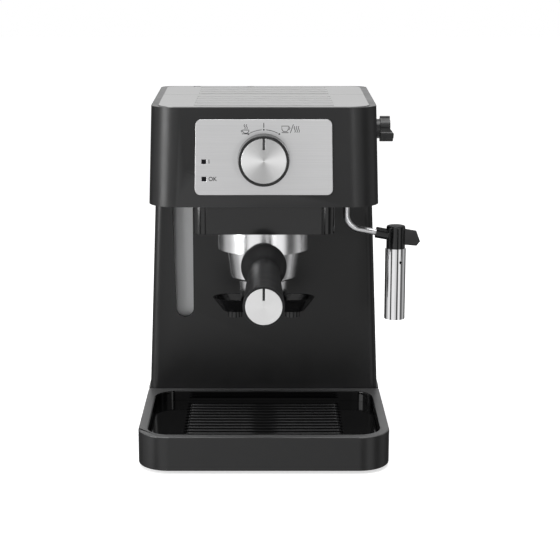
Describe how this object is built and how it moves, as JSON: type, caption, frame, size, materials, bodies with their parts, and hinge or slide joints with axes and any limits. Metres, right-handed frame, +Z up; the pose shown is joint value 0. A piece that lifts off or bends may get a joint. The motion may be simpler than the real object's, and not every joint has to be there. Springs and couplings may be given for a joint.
{
  "type": "pump espresso machine",
  "caption": "Compact pump espresso machine: dark casing, brushed control panel and cup deck, brew handle with twin spout, steam wand with frother, lift-out tank and slide-out drip tray.",
  "frame": {"origin": "on the counter, in the middle of the four feet", "axes": "+Z up, -Y towards the front (tray and brew handle), +X towards the steam wand"},
  "size_m": [0.231, 0.3115, 0.289],
  "materials": {
    "casing_black": "satin moulded",
    "gloss_black": "glossy moulded",
    "brushed_steel": "brushed",
    "chrome": "polished plate",
    "aluminium": "cast",
    "rubber": "matte",
    "tank_clear": "clear grey tint",
    "brass": "machined",
    "lens_black": "dark",
    "zinc_steel": "bright",
    "hose_clear": "clear silicone"
  },
  "bodies": {
    "machine": {"base_plate": "casing_black", "rubber_feet": "rubber", "base_screws": "zinc_steel", "column_shell": "casing_black", "rear_cover": "casing_black", "rear_screws": "zinc_steel", "mains_inlet_gland": "rubber", "tank_shelf": "casing_black", "valve_seat": "casing_black", "upper_housing": "casing_black", "cup_plate": "brushed_steel", "control_panel": "brushed_steel", "indicator_lenses": "lens_black", "lamp_board": "lens_black", "selector_switch": "casing_black", "group_collar": "casing_black", "brew_group": "aluminium", "group_seal": "rubber", "shower_screen": "zinc_steel", "shower_screen_screw": "zinc_steel", "boiler_lower": "aluminium", "boiler_seal": "rubber", "boiler_upper": "aluminium", "boiler_screws": "zinc_steel", "thermostats": "lens_black", "steam_valve": "brass", "steam_feed_pipe": "zinc_steel", "wand_gland_nut": "brass", "steam_pipe": "zinc_steel", "pump_coil": "lens_black", "pump_barrel": "brass", "pump_rubber_mounts": "rubber", "suction_hose": "hose_clear", "delivery_hose": "hose_clear"},
    "drip_tray": {"drip_tray": "gloss_black"},
    "cup_grid": {"cup_grid": "gloss_black"},
    "water_tank": {"water_tank": "tank_clear", "tank_handle": "casing_black", "tank_valve": "casing_black"},
    "tank_lid": {"tank_lid": "casing_black", "lid_skin": "brushed_steel", "lid_hinge_pins": "zinc_steel"},
    "selector": {"selector_knob": "gloss_black", "selector_knob_cap": "brushed_steel", "selector_shaft": "zinc_steel"},
    "steam_knob": {"steam_knob": "casing_black", "steam_valve_stem": "brass"},
    "brew_handle": {"filter_holder": "chrome", "filter_basket": "zinc_steel", "twin_spout": "gloss_black", "brew_handle": "casing_black", "brew_handle_cap": "brushed_steel"},
    "steam_wand": {"wand_tube": "chrome", "wand_joint": "casing_black", "steam_nozzle": "casing_black"},
    "frother": {"frother_sleeve": "chrome"}
  },
  "joints": [
    {"name": "tray_slide", "type": "slide", "parent": "machine", "child": "drip_tray", "axis": [0, -1, 0], "range_m": [0, 0.16]},
    {"name": "grid_lift", "type": "slide", "parent": "drip_tray", "child": "cup_grid", "axis": [0, 0, 1], "range_m": [0, 0.04]},
    {"name": "tank_lift", "type": "slide", "parent": "machine", "child": "water_tank", "axis": [0, 0, 1], "range_m": [0, 0.19]},
    {"name": "lid_hinge", "type": "hinge", "parent": "water_tank", "child": "tank_lid", "pos_m": [0, 0.0974, 0.286], "axis": [-1, 0, 0], "range_deg": [0, 100]},
    {"name": "selector_turn", "type": "hinge", "parent": "machine", "child": "selector", "pos_m": [0, -0.09, 0.2473], "axis": [0, 1, 0], "range_deg": [-32, 32]},
    {"name": "steam_knob_turn", "type": "hinge", "parent": "machine", "child": "steam_knob", "pos_m": [0.095, -0.035, 0.2655], "axis": [1, 0, 0], "range_deg": [0, 270]},
    {"name": "brew_handle_lock", "type": "hinge", "parent": "machine", "child": "brew_handle", "pos_m": [0, -0.042, 0.19], "axis": [0, 0, 1], "range_deg": [-45, 0]},
    {"name": "wand_swivel", "type": "hinge", "parent": "machine", "child": "steam_wand", "pos_m": [0.0683, -0.04, 0.215], "axis": [0, 0, 1], "range_deg": [-90, 40]},
    {"name": "frother_slide", "type": "slide", "parent": "steam_wand", "child": "frother", "axis": [0, 0, -1], "range_m": [0, 0.05]}
  ]
}
